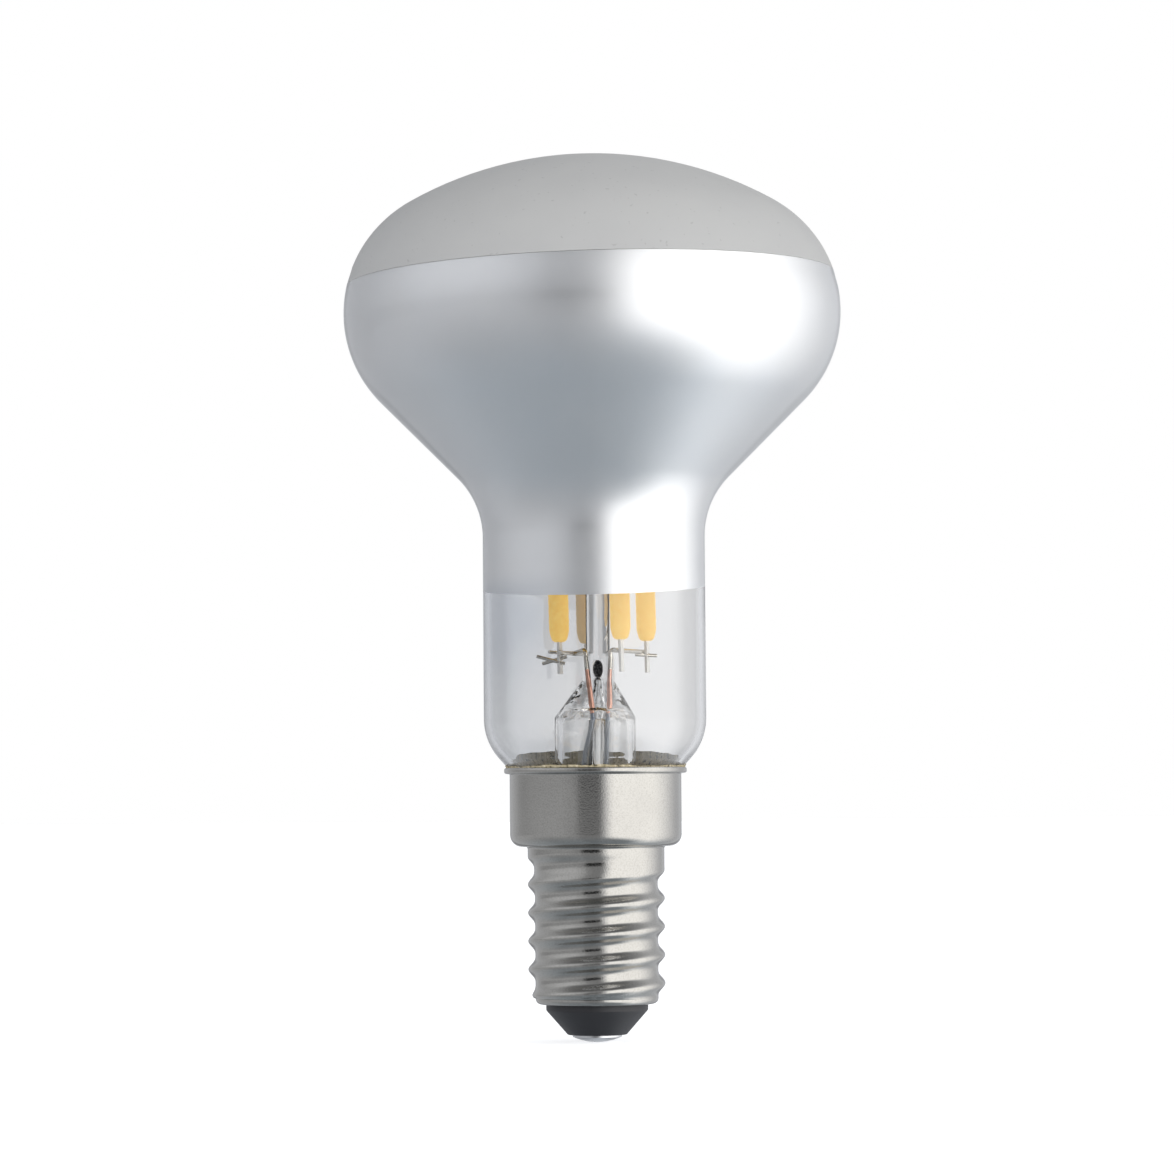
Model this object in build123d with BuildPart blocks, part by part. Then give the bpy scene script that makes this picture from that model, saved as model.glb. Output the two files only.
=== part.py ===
from build123d import *
import os
from math import atan2, cos, degrees, radians, sin, sqrt, tan

os.makedirs("parts", exist_ok=True)

# LED reflector lamp with an E14 screw cap, standing base down.
# Millimetres and degrees, +Z up, origin at the tip of the end contact on the lamp's axis.

# Glass bulb
overall_length = 88.9
head_diameter = 50.0
crown_radius = 37.5
shoulder_radius = 12.5
cone_angle = 45.0
neck_blend_radius = 8.5
neck_diameter = 22.3
neck_round_radius = 6.0
tail_angle = 42.0
tail_blend_radius = 1.5
tail_diameter = 15.9
tail_length = 0.87
glass_wall = 0.7

# Screw cap
contact_rise = 0.75
contact_diameter = 4.9
contact_edge = 0.22
rivet_diameter = 1.9
rivet_fit = 0.05
insulator_tip_diameter = 5.9
insulator_cone_height = 2.45
insulator_land = 0.6
insulator_fit = 0.05
flange_height = 1.0
shell_length = 23.6
shell_wall = 0.3
shell_core_wall = 0.4
shell_floor = 0.5
roll_width = 1.0
roll_radius = 0.6
thread_crest_diameter = 13.7
thread_root_diameter = 12.3
thread_pitch = 2.82
thread_crest_width = 0.5
thread_knee_width = 1.24
thread_knee_depth = 0.3
thread_foot_width = 2.7
thread_run_in = 0.76
thread_clearance = 0.36
thread_fade = 0.42
band_diameter = 13.6
band_height = 1.85
band_step = 0.25
collar_height = 7.9
collar_round = 1.2
cement_ring = 0.35
cement_gap = 0.1
lip_reach = 0.55
lip_height = 0.6
lip_land = 0.25
lip_bevel = 0.12

# Basing cement
cement_depth = 6.1
cement_inside_diameter = 13.8
cement_front_rise = 0.2
cement_back_rise = 1.1
cement_skin_rise = 1.6

# Glass stem
flare_diameter = 8.1
flare_curve = 2.9
flare_height = 7.4
hollow_lift = 0.6
hollow_bevel = 1.0
press_offset = 0.33
press_neck_rise = 3.6
press_height = 2.8
press_cover = 0.17
press_front_cover = 0.37
press_corner = 1.2
press_round = 0.6
post_diameter = 2.4
post_bevel = 0.5
post_cap = 1.3
exhaust_diameter = 2.0
exhaust_bevel = 0.5
exhaust_bore = 1.0
exhaust_back = 0.95
exhaust_hang = 3.0
exhaust_tip = 0.8
port_width = 1.0
port_height = 1.8
port_drop = 1.6
port_depth = 0.2

# Wires
lead_diameter = 0.45
lead_front = 0.75
lead_bend = 0.35
lead_lift = 0.35
weld_drop = 1.6
weld_foot = 0.2
exit_spread = 1.25
foot_spread = 0.72
sleeve_spread = 1.16
sleeve_shift = -0.43
foot_shift = 0.22
foot_drop = 0.6
sleeve_diameter = 1.3
sleeve_bore = 0.75
sleeve_top_gap = 0.9
sleeve_hang = 2.0
sleeve_station = 2.4
left_lead_touch = -0.6

# LED filaments
filament_clearance = 1.2
filament_length = 27.0
coat_diameter = 2.0
coat_taper = 0.45
coat_nose = 1.3
carrier_width = 0.8
carrier_thickness = 0.35
tab_width = 0.78
tab_thickness = 0.25
tab_reach = 3.2
tab_lap = 1.0
cage_radius = 4.7
cage_shift = 0.57
cage_angle = 21.1
bar_diameter = 0.45
bar_drop = 1.1
bar_overshoot = 0.8
top_wire_rise = 1.1
top_wire_step = 1.0

# Driver
board_height = 16.0
board_thickness = 1.0
board_gap = 0.25
board_edge_gap = 0.75
board_corner = 0.5
pad_spread = 1.9
pad_length = 2.4
pad_lift = 0.6
resistor_diameter = 2.4
resistor_length = 6.5
resistor_bevel = 0.25
resistor_lead_diameter = 0.5
resistor_rise = 1.1
resistor_lead_run = 0.8
capacitor_diameter = 5.0
capacitor_height = 10.0
capacitor_gap = 0.9
capacitor_crimp_rise = 1.0
capacitor_groove = 0.25
bridge_width = 4.7
bridge_height = 3.9
bridge_depth = 2.5
bridge_rise = 1.2
chip_width = 3.9
chip_height = 4.9
chip_depth = 1.4
chip_gap = 1.6
package_bevel = 0.25
pin_count = 4
pin_pitch = 1.27
pin_width = 0.4
pin_thickness = 0.25
pin_reach = 0.9
neutral_diameter = 0.5
neutral_shift = 3.3
neutral_drop = 4.0

# Radii that follow from the diameters
head_radius = head_diameter / 2
neck_radius = neck_diameter / 2
tail_radius = tail_diameter / 2
flare_radius = flare_diameter / 2
hollow_radius = flare_radius - glass_wall
post_radius = post_diameter / 2
lead_radius = lead_diameter / 2
bar_radius = bar_diameter / 2
root_radius = thread_root_diameter / 2
band_radius = band_diameter / 2
bore_radius = root_radius - shell_core_wall
roll_bore = root_radius - roll_width
collar_bore = tail_radius + cement_ring
collar_radius = collar_bore + shell_wall
lip_radius = collar_radius + lip_reach
lip_bore = lip_radius - lip_land
rivet_radius = rivet_diameter / 2

# Heights in the cap, from the tip up
shell_bottom = contact_rise + insulator_cone_height + insulator_land
flange_bottom = shell_bottom + shell_floor
flange_top = flange_bottom + flange_height
lip_top = shell_bottom + shell_length
lip_bottom = lip_top - lip_height
collar_bottom = lip_top - collar_height
band_bottom = collar_bottom - band_height

# The tail of the bulb sinks into the collar until its taper clears the lip by the cement gap
tail_sine = sin(radians(tail_angle))
tail_cosine = cos(radians(tail_angle))
taper_start = tail_radius + tail_blend_radius * (1 - tail_cosine)
taper_rise = (lip_bore - cement_gap - taper_start) * tail_cosine / tail_sine
seal_height = lip_top - taper_rise - tail_blend_radius * tail_sine - tail_length
rim_bottom = seal_height - glass_wall

# Centres of the arcs of the bulb's outline, which its inner and outer walls share
crown_centre = overall_length - crown_radius
shoulder_reach = head_radius - shoulder_radius
shoulder_centre = crown_centre + sqrt((crown_radius - shoulder_radius) ** 2 - shoulder_reach**2)
crown_turn = degrees(atan2(shoulder_reach, shoulder_centre - crown_centre))
cone_sine = sin(radians(cone_angle))
cone_cosine = cos(radians(cone_angle))
blend_reach = neck_radius + neck_blend_radius
cone_run = (blend_reach - shoulder_reach) * cone_cosine - shoulder_radius - neck_blend_radius
blend_centre = shoulder_centre + cone_run / cone_sine
foot_reach = tail_radius + tail_blend_radius
foot_centre = seal_height + tail_length
turn_reach = neck_radius - neck_round_radius
turn_run = (turn_reach - foot_reach) * tail_cosine + neck_round_radius + tail_blend_radius
turn_centre = foot_centre + turn_run / tail_sine

# Heights in the stem and the filament cage
press_foot = seal_height + flare_height
hollow_top = press_foot + hollow_lift
press_neck = press_foot + press_neck_rise
press_top = press_neck + press_height
weld_height = press_top - weld_drop
filament_base = press_top + filament_clearance
press_width = 2 * (exit_spread + lead_radius + press_cover)
press_depth = 2 * (lead_front + lead_radius + press_front_cover)
port_centre = press_top - port_drop
first_wire_height = filament_length + top_wire_rise
second_wire_height = first_wire_height + top_wire_step
post_top = filament_base + second_wire_height + post_cap

# The filaments stand in a square cage that leans until its top is over the post
cage_lean = atan2(cage_shift, filament_length)
cage = Plane(
    origin=(press_offset + cage_shift, 0, filament_base),
    x_dir=(cos(cage_lean), 0, sin(cage_lean)),
    z_dir=(-sin(cage_lean), 0, cos(cage_lean)),
)
strip_angle = cage_angle + 45
side_reach = cage_radius * cos(radians(45))
bar_reach = side_reach - tab_thickness / 2 - bar_radius

# Places in the driver
board_back = -(rivet_radius + board_gap)
board_front = board_back - board_thickness
board_top = flange_top + board_height
board_width = 2 * sqrt((bore_radius - board_edge_gap) ** 2 - board_front**2)
resistor_radius = resistor_diameter / 2
resistor_lead_radius = resistor_lead_diameter / 2
rivet_top = flange_top + rivet_radius / 2
resistor_centre = rivet_top + resistor_rise + resistor_radius
capacitor_radius = capacitor_diameter / 2
capacitor_bottom = resistor_centre + resistor_radius + capacitor_gap
bridge_centre = flange_top + bridge_rise + bridge_height / 2
chip_centre = bridge_centre + bridge_height / 2 + chip_gap + chip_height / 2


def save(piece, name):
    """Label a finished piece and write it under its name."""
    piece.part.label = name
    export_step(piece.part, f"parts/{name}.step")


def bulb_outline(inset):
    """Draw the bulb from its crown to the end of its tail, moved in by inset; return both end points."""
    crown = CenterArc((0, crown_centre), crown_radius - inset, 90, -crown_turn)
    shoulder_turn = 90 - crown_turn + cone_angle
    shoulder = CenterArc(
        (shoulder_reach, shoulder_centre), shoulder_radius - inset, 90 - crown_turn, -shoulder_turn
    )
    blend = CenterArc(
        (blend_reach, blend_centre), neck_blend_radius + inset, 180 - cone_angle, cone_angle
    )
    turn = CenterArc((turn_reach, turn_centre), neck_round_radius - inset, 0, -tail_angle)
    foot = CenterArc(
        (foot_reach, foot_centre), tail_blend_radius + inset, 180 - tail_angle, tail_angle
    )
    tail = Line(foot @ 1, (tail_radius - inset, seal_height))
    Line(shoulder @ 1, blend @ 0)
    Line(blend @ 1, turn @ 0)
    Line(turn @ 1, foot @ 0)
    return crown @ 0, tail @ 1


def straight_wire(start, end, radius):
    """Make a round wire between two points."""
    with BuildPart() as wire:
        with BuildSketch(Plane(origin=start, z_dir=end - start)):
            Circle(radius)
        extrude(amount=(end - start).length)
    return wire


def swept_tube(points, bend, radius, bore=0):
    """Make a round wire, or a sleeve where bore is given, along a bent line."""
    with BuildPart() as tube:
        with BuildLine() as route:
            FilletPolyline(*points, radius=bend)
        with BuildSketch(Plane(origin=route.line @ 0, z_dir=route.line % 0)):
            Circle(radius)
            if bore:
                Circle(bore, mode=Mode.SUBTRACT)
        sweep(path=route.line)
    return tube


def length_between(tube, low, high):
    """Keep the length of a tube between two heights; None leaves that end as it is."""
    with BuildPart() as length:
        add(tube.part)
        if low is not None:
            split(bisect_by=Plane.XY.offset(low), keep=Keep.TOP)
        if high is not None:
            split(bisect_by=Plane.XY.offset(high), keep=Keep.BOTTOM)
    return length


def cage_point(radius, angle, height):
    """Find a point of the leaning filament cage from its polar place."""
    across = radius * cos(radians(angle))
    along = radius * sin(radians(angle))
    return cage.from_local_coords(Vector(across, along, height))


# Glass envelope: one blown wall of even thickness, open at the tail
with BuildPart() as glass_envelope:
    with BuildSketch(Plane.XZ):
        with BuildLine():
            outer_crown, outer_tail = bulb_outline(0)
            inner_crown, inner_tail = bulb_outline(glass_wall)
            Line(outer_crown, inner_crown)
            Line(outer_tail, inner_tail)
        make_face()
    revolve(axis=Axis.Z)
save(glass_envelope, "glass_envelope")

# Cross bars, each along the inner faces of the two lower tabs on its side
bar_half = cage_radius * sin(radians(45)) + bar_overshoot
bar_along = cage_point(1, strip_angle, 0) - cage.origin
bar_middles = {
    "left": cage_point(bar_reach, strip_angle + 90, -bar_drop),
    "right": cage_point(bar_reach, strip_angle - 90, -bar_drop),
}
for side, middle in bar_middles.items():
    cross_bar = straight_wire(middle - bar_along * bar_half, middle + bar_along * bar_half, bar_radius)
    save(cross_bar, f"cross_bar_{side}")

# Top wires, each across the post from one upper tab to the tab opposite
top_wire_half = cage_radius - tab_thickness * sin(radians(45)) - bar_radius
top_wires = {}
for name, turn, height in (
    ("top_wire_lower", 0, first_wire_height),
    ("top_wire_upper", 90, second_wire_height),
):
    far_end = cage_point(-top_wire_half, cage_angle + turn, height)
    near_end = cage_point(top_wire_half, cage_angle + turn, height)
    top_wires[name] = straight_wire(far_end, near_end, bar_radius)
    save(top_wires[name], name)

# Leads: each runs from its pad on the board, up through the flare and the press, and out to its cross bar
side_signs = {"left": -1, "right": 1}
lead_touches = {"left": left_lead_touch, "right": 0}
whole_leads = {}
for side, sign in side_signs.items():
    touch = bar_middles[side] + bar_along * lead_touches[side]
    pad_axis = board_front - lead_radius
    pad_end = Vector(sign * pad_spread, pad_axis, board_top - pad_length)
    pad_bend = Vector(sign * pad_spread, pad_axis, board_top + pad_lift)
    in_sleeve = Vector(
        press_offset + sleeve_shift + sign * sleeve_spread, -lead_front, seal_height + sleeve_station
    )
    at_foot = Vector(press_offset + foot_shift + sign * foot_spread, -lead_front, hollow_top - foot_drop)
    at_exit = Vector(press_offset + sign * exit_spread, -lead_front, press_top + lead_lift)
    run = (touch - at_exit).normalized()
    slope = abs(run.dot(bar_along))
    stop = (bar_radius + lead_radius * slope) / sqrt(1 - slope**2)
    route = (pad_end, pad_bend, in_sleeve, at_foot, at_exit, touch - run * stop)
    whole_leads[side] = swept_tube(route, lead_bend, lead_radius)
    save(length_between(whole_leads[side], weld_height, None), f"inner_lead_{side}")
    save(length_between(whole_leads[side], hollow_top - weld_foot, weld_height), f"seal_wire_{side}")
    save(length_between(whole_leads[side], None, hollow_top - weld_foot), f"outer_lead_{side}")
    whole_sleeve = swept_tube(route[1:4], sleeve_diameter, sleeve_diameter / 2, sleeve_bore / 2)
    sleeve_bottom = seal_height - sleeve_hang
    sleeve_top = hollow_top - sleeve_top_gap
    save(length_between(whole_sleeve, sleeve_bottom, sleeve_top), f"lead_sleeve_{side}")

# Glass stem: flare, press, post and exhaust tube, melted into one piece round the wires
with BuildPart() as glass_stem:
    with BuildSketch(Plane.XZ):
        with BuildLine():
            FilletPolyline(
                (0, press_foot),
                (flare_radius, press_foot),
                (flare_radius, seal_height),
                (tail_radius, seal_height),
                (tail_radius, rim_bottom),
                (0, rim_bottom),
                close=True,
                radius=[0, 0, flare_curve, 0, 0, 0],
            )
        make_face()
    revolve(axis=Axis.Z)
    with BuildSketch(Plane.XY.offset(press_foot)):
        Circle(flare_radius)
    with BuildSketch(Plane((press_offset, 0, press_neck))):
        RectangleRounded(press_width, press_depth, press_corner)
    loft()
    with BuildSketch(Plane((press_offset, 0, press_neck))):
        RectangleRounded(press_width, press_depth, press_corner)
    extrude(amount=press_height)
    fillet(faces().sort_by(Axis.Z)[-1].edges(), press_round)
    with BuildSketch(Plane((press_offset, 0, press_neck))):
        Circle(post_radius)
    extrude(amount=post_top - press_neck)
    chamfer(faces().sort_by(Axis.Z)[-1].edges(), post_bevel)
    with BuildSketch(Plane.XZ):
        with BuildLine():
            FilletPolyline(
                (0, hollow_top),
                (hollow_radius - hollow_bevel, hollow_top),
                (hollow_radius, hollow_top - hollow_bevel),
                (hollow_radius, rim_bottom),
                (tail_radius, rim_bottom),
                (tail_radius, rim_bottom - glass_wall),
                (0, rim_bottom - glass_wall),
                close=True,
                radius=[0, 0, 0, flare_curve + glass_wall, 0, 0, 0],
            )
        make_face()
    revolve(axis=Axis.Z, mode=Mode.SUBTRACT)
    exhaust_bottom = seal_height - exhaust_hang
    with BuildSketch(Plane((press_offset, exhaust_back, exhaust_bottom))):
        Circle(exhaust_diameter / 2)
    extrude(amount=hollow_top + exhaust_diameter / 2 - exhaust_bottom)
    chamfer(faces().sort_by(Axis.Z)[0].edges(), exhaust_bevel)
    with BuildLine() as bore_route:
        FilletPolyline(
            (press_offset, exhaust_back, exhaust_bottom + exhaust_tip),
            (press_offset, exhaust_back, hollow_top),
            (press_offset, port_depth, port_centre),
            radius=exhaust_diameter,
        )
    with BuildSketch(Plane((press_offset, exhaust_back, exhaust_bottom + exhaust_tip))):
        Circle(exhaust_bore / 2)
    sweep(path=bore_route.line, mode=Mode.SUBTRACT)
    with BuildSketch(Plane.XZ.offset(-port_depth)):
        with Locations((press_offset, port_centre)):
            Ellipse(port_width / 2, port_height / 2)
    extrude(amount=press_depth, mode=Mode.SUBTRACT)
    for wire in (*whole_leads.values(), *top_wires.values()):
        add(wire.part, mode=Mode.SUBTRACT)
save(glass_stem, "glass_stem")

# LED filaments: phosphor coat on a carrier strip, with a tab at each end
filament_names = ("right", "back", "left", "front")
for index, name in enumerate(filament_names):
    angle = radians(cage_angle + 90 * index)
    place = Location((cage_radius * cos(angle), cage_radius * sin(angle), 0), (0, 0, strip_angle))
    seat = Plane(cage.location * place)
    with BuildPart() as filament_coat:
        with BuildSketch(seat):
            Circle(coat_diameter / 2)
        extrude(amount=filament_length)
        for coat_end in (faces().sort_by(Axis.Z)[0], faces().sort_by(Axis.Z)[-1]):
            chamfer(coat_end.edges(), coat_taper, coat_nose, reference=coat_end)
        with BuildSketch(seat):
            Rectangle(carrier_width, carrier_thickness)
        extrude(amount=filament_length, mode=Mode.SUBTRACT)
    save(filament_coat, f"filament_coat_{name}")
    with BuildPart() as filament_carrier:
        with BuildSketch(seat.offset(tab_lap)):
            Rectangle(carrier_width, carrier_thickness)
        extrude(amount=filament_length - 2 * tab_lap)
    save(filament_carrier, f"filament_carrier_{name}")
    for end, height in (("lower", -tab_reach), ("upper", filament_length - tab_lap)):
        with BuildPart() as filament_tab:
            with BuildSketch(seat.offset(height)):
                Rectangle(tab_width, tab_thickness)
            extrude(amount=tab_reach + tab_lap)
        save(filament_tab, f"filament_tab_{end}_{name}")

# Thread: a rounded ridge along a right-hand helix, trimmed where it runs into the band and the rolled edge
ridge_base = bore_radius + shell_core_wall / 2
crest_depth = (thread_crest_diameter - thread_root_diameter) / 2
thread_start = shell_bottom - thread_run_in
thread_top = band_bottom + band_step
thread_height = thread_top - thread_start + thread_pitch
trim_bottom = shell_bottom + thread_clearance
free_radius = root_radius + 2 * crest_depth
with BuildPart() as thread_ridge:
    with BuildLine() as coil:
        Helix(thread_pitch, thread_height, root_radius, center=(0, 0, thread_start))
    with BuildSketch(Plane(origin=coil.line @ 0, x_dir=(1, 0, 0), z_dir=coil.line % 0)):
        with BuildLine():
            Polyline(
                (ridge_base - root_radius, thread_foot_width / 2),
                (thread_knee_depth, thread_knee_width / 2),
                (crest_depth, thread_crest_width / 2),
                (crest_depth, -thread_crest_width / 2),
                (thread_knee_depth, -thread_knee_width / 2),
                (ridge_base - root_radius, -thread_foot_width / 2),
                close=True,
            )
        make_face()
    sweep(path=coil.line, is_frenet=True)
    with BuildSketch(Plane.YZ):
        with BuildLine():
            Polyline(
                (bore_radius, thread_top),
                (free_radius, thread_top),
                (free_radius, thread_top + thread_height),
                (bore_radius, thread_top + thread_height),
                close=True,
            )
        make_face()
    revolve(axis=Axis.Z, mode=Mode.SUBTRACT)
    with BuildSketch(Plane.YZ):
        with BuildLine():
            Polyline(
                (bore_radius, trim_bottom),
                (root_radius, trim_bottom),
                (root_radius + thread_fade, trim_bottom + thread_fade),
                (free_radius, trim_bottom + 2 * crest_depth),
                (free_radius, trim_bottom - thread_height),
                (bore_radius, trim_bottom - thread_height),
                close=True,
            )
        make_face()
    revolve(axis=Axis.Z, mode=Mode.SUBTRACT)

# Screw shell: drawn sheet with a collar and a lip, rolled in under the insulator's flange
band_bore = band_radius - shell_wall
core_top = thread_top + shell_core_wall
collar_flat = collar_radius - collar_round
shell_corners = (
    ((roll_bore, shell_bottom), 0),
    ((root_radius, shell_bottom), roll_radius),
    ((root_radius, band_bottom - band_step), 0),
    ((band_radius, band_bottom + band_step), 0),
    ((band_radius, collar_bottom), 0),
    ((collar_radius, collar_bottom), collar_round),
    ((collar_radius, lip_bottom), 0),
    ((lip_radius - lip_bevel, lip_bottom), 0),
    ((lip_radius, lip_bottom + lip_bevel), 0),
    ((lip_radius, lip_top - lip_bevel), 0),
    ((lip_radius - lip_bevel, lip_top), 0),
    ((lip_bore, lip_top), 0),
    ((collar_bore, lip_bottom - shell_wall), 0),
    ((collar_bore, collar_bottom + collar_round), 0),
    ((collar_flat, collar_bottom + shell_wall), 0),
    ((band_bore, collar_bottom + shell_wall), 0),
    ((band_bore, core_top), 0),
    ((bore_radius, core_top), 0),
    ((bore_radius, flange_bottom), 0),
    ((roll_bore, flange_bottom), 0),
)
with BuildPart() as screw_shell:
    with BuildSketch(Plane.XZ):
        with BuildLine():
            corners = [corner for corner, bend in shell_corners]
            bends = [bend for corner, bend in shell_corners]
            FilletPolyline(*corners, radius=bends, close=True)
        make_face()
    revolve(axis=Axis.Z)
    add(thread_ridge.part)
save(screw_shell, "screw_shell")

# Insulator: a pressed glass bush, its flange held inside the rolled edge of the shell
insulator_radius = roll_bore - insulator_fit
flange_radius = bore_radius - insulator_fit
insulator_bore = rivet_radius + rivet_fit
insulator_shoulder = contact_rise + insulator_cone_height
with BuildPart() as insulator:
    with BuildSketch(Plane.XZ):
        with BuildLine():
            Polyline(
                (insulator_bore, contact_rise),
                (insulator_tip_diameter / 2, contact_rise),
                (insulator_radius, insulator_shoulder),
                (insulator_radius, flange_bottom),
                (flange_radius, flange_bottom),
                (flange_radius, flange_top),
                (insulator_bore, flange_top),
                close=True,
            )
        make_face()
    revolve(axis=Axis.Z)
save(insulator, "insulator")

# End contact: a domed rivet whose shank goes through the insulator
contact_radius = contact_diameter / 2
with BuildPart() as end_contact:
    with BuildSketch(Plane.XZ):
        with BuildLine():
            dome = TangentArc((0, 0), (contact_radius, contact_rise - contact_edge), tangent=(1, 0))
            Polyline(
                dome @ 1,
                (contact_radius, contact_rise),
                (rivet_radius, contact_rise),
                (rivet_radius, rivet_top),
                (0, rivet_top),
                (0, 0),
            )
        make_face()
    revolve(axis=Axis.Z)
save(end_contact, "end_contact")

# The glass as a filled body, down to the rim of the flare
with BuildPart() as filled_glass:
    with BuildSketch(Plane.XZ):
        with BuildLine():
            crown_point, tail_point = bulb_outline(0)
            Polyline(tail_point, (tail_radius, rim_bottom), (0, rim_bottom), crown_point)
        make_face()
    revolve(axis=Axis.Z)

# Basing cement: fills the collar round the glass, and stands a little higher at the back
cement_bottom = lip_top - cement_depth
cement_inside = cement_inside_diameter / 2
skin_reach = lip_bore + cement_skin_rise * tan(radians(tail_angle))
cement_level = lip_top + (cement_front_rise + cement_back_rise) / 2
cement_tilt = atan2(cement_back_rise - cement_front_rise, 2 * lip_radius)
cement_surface = Plane(origin=(0, 0, cement_level), z_dir=(0, -sin(cement_tilt), cos(cement_tilt)))
with BuildPart() as basing_cement:
    with BuildSketch(Plane.XZ):
        with BuildLine():
            Polyline(
                (cement_inside, cement_bottom),
                (collar_bore, cement_bottom),
                (collar_bore, lip_bottom - shell_wall),
                (lip_bore, lip_top),
                (skin_reach, lip_top + cement_skin_rise),
                (cement_inside, lip_top + cement_skin_rise),
                close=True,
            )
        make_face()
    revolve(axis=Axis.Z)
    add(filled_glass.part, mode=Mode.SUBTRACT)
    split(bisect_by=cement_surface, keep=Keep.BOTTOM)
save(basing_cement, "basing_cement")

# Driver board, upright on the insulator's flange
with BuildPart() as driver_board:
    with BuildSketch(Plane.XZ.offset(-board_back)):
        with Locations((0, flange_top + board_height / 2)):
            RectangleRounded(board_width, board_height, board_corner)
    extrude(amount=board_thickness)
save(driver_board, "driver_board")

# Smoothing capacitor, a crimped can against the back of the board
capacitor_axis = board_back + capacitor_radius
crimp_low = capacitor_bottom + capacitor_crimp_rise
with BuildPart() as smoothing_capacitor:
    with BuildSketch(Plane.XZ.offset(-capacitor_axis)):
        with BuildLine():
            Polyline(
                (0, capacitor_bottom),
                (capacitor_radius, capacitor_bottom),
                (capacitor_radius, crimp_low),
                (capacitor_radius - capacitor_groove, crimp_low + capacitor_groove),
                (capacitor_radius, crimp_low + 2 * capacitor_groove),
                (capacitor_radius, capacitor_bottom + capacitor_height),
                (0, capacitor_bottom + capacitor_height),
                close=True,
            )
        make_face()
    revolve(axis=Axis((0, capacitor_axis, 0), (0, 0, 1)))
save(smoothing_capacitor, "smoothing_capacitor")


def chip_package(width, height, depth, centre, pins, pitch):
    """Make a moulded package on the front of the board, with a row of flat pins down each side."""
    with BuildPart() as package:
        with BuildSketch(Plane.XZ.offset(-board_front)):
            with Locations((0, centre)):
                Rectangle(width, height)
        extrude(amount=depth)
        chamfer(faces().sort_by(Axis.Y)[0].edges(), package_bevel)
        with BuildSketch(Plane.XZ.offset(-board_front)):
            with Locations((0, centre)):
                with GridLocations(width + pin_reach, pitch, 2, pins):
                    Rectangle(pin_reach, pin_width)
        extrude(amount=pin_thickness)
    return package


rectifier = chip_package(bridge_width, bridge_height, bridge_depth, bridge_centre, 2, 2 * pin_pitch)
save(rectifier, "bridge_rectifier")
controller = chip_package(chip_width, chip_height, chip_depth, chip_centre, pin_count, pin_pitch)
save(controller, "driver_chip")

# Fuse resistor behind the board: one lead to the rivet of the end contact, one to the board
resistor_axis = board_back + resistor_radius
resistor_end = resistor_length / 2
lead_corner = resistor_end + resistor_lead_run
live_level = rivet_top + resistor_rise / 2
live_lead = swept_tube(
    (
        (-resistor_end, resistor_axis, resistor_centre),
        (-lead_corner, resistor_axis, resistor_centre),
        (-lead_corner, resistor_axis, live_level),
        (0, 0, live_level),
        (0, 0, rivet_top),
    ),
    resistor_lead_radius,
    resistor_lead_radius,
)
board_lead = swept_tube(
    (
        (resistor_end, resistor_axis, resistor_centre),
        (lead_corner, resistor_axis, resistor_centre),
        (lead_corner, board_back, resistor_centre),
    ),
    resistor_lead_radius,
    resistor_lead_radius,
)
with BuildPart() as fuse_resistor:
    with BuildSketch(Plane((-resistor_end, resistor_axis, resistor_centre), z_dir=(1, 0, 0))):
        Circle(resistor_radius)
    extrude(amount=resistor_length)
    chamfer(edges().filter_by(GeomType.CIRCLE), resistor_bevel)
    add(live_lead.part)
    add(board_lead.part)
save(fuse_resistor, "fuse_resistor")

# Neutral lead, from the board to the wall of the shell, never above the shell's narrow bore
neutral_radius = neutral_diameter / 2
neutral_level = min(board_top - neutral_drop, core_top - neutral_diameter)
neutral_reach = sqrt(bore_radius**2 - (neutral_shift + neutral_radius) ** 2)
neutral_lead = straight_wire(
    Vector(neutral_shift, board_front, neutral_level),
    Vector(neutral_shift, -neutral_reach, neutral_level),
    neutral_radius,
)
save(neutral_lead, "neutral_lead")
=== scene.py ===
# %% [markdown]
# # A reflector lamp with LED filaments
# The lamp is a blown glass bulb with a silvered cone, a frosted crown and a clear neck, cemented into a
# screw cap. The imported CAD model comes in first as a fixed frame, because every piece below has to sit
# where its solid sits.

# %% Load the imported lamp
import math

import bmesh
import bpy
from mathutils import Matrix, Quaternion, Vector


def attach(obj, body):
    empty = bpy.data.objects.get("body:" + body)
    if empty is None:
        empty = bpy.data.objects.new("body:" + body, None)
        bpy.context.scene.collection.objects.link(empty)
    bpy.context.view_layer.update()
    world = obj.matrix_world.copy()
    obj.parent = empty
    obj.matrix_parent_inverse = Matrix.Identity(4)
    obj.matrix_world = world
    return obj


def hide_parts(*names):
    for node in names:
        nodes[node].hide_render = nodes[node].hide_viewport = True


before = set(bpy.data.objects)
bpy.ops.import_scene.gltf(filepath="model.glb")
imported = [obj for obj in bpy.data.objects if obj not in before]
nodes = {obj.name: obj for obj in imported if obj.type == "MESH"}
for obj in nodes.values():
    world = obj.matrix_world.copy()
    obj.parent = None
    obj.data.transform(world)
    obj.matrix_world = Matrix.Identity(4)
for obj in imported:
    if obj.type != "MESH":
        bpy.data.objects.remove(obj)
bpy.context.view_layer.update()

MM = 0.001
FULL_TURN = 2 * math.pi


# %% [markdown]
# Node trees are quicker to read as sums than as boxes and links. A small class wraps an output socket and
# overloads Python's operators, so that `1 - mask` adds the Math node by itself. Its reflected forms let a
# plain number stand on the left. Every other node comes from one method, which sets the node's own settings
# first and its sockets after them. The same two classes build the materials, the world and the Geometry
# Nodes trees.

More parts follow.
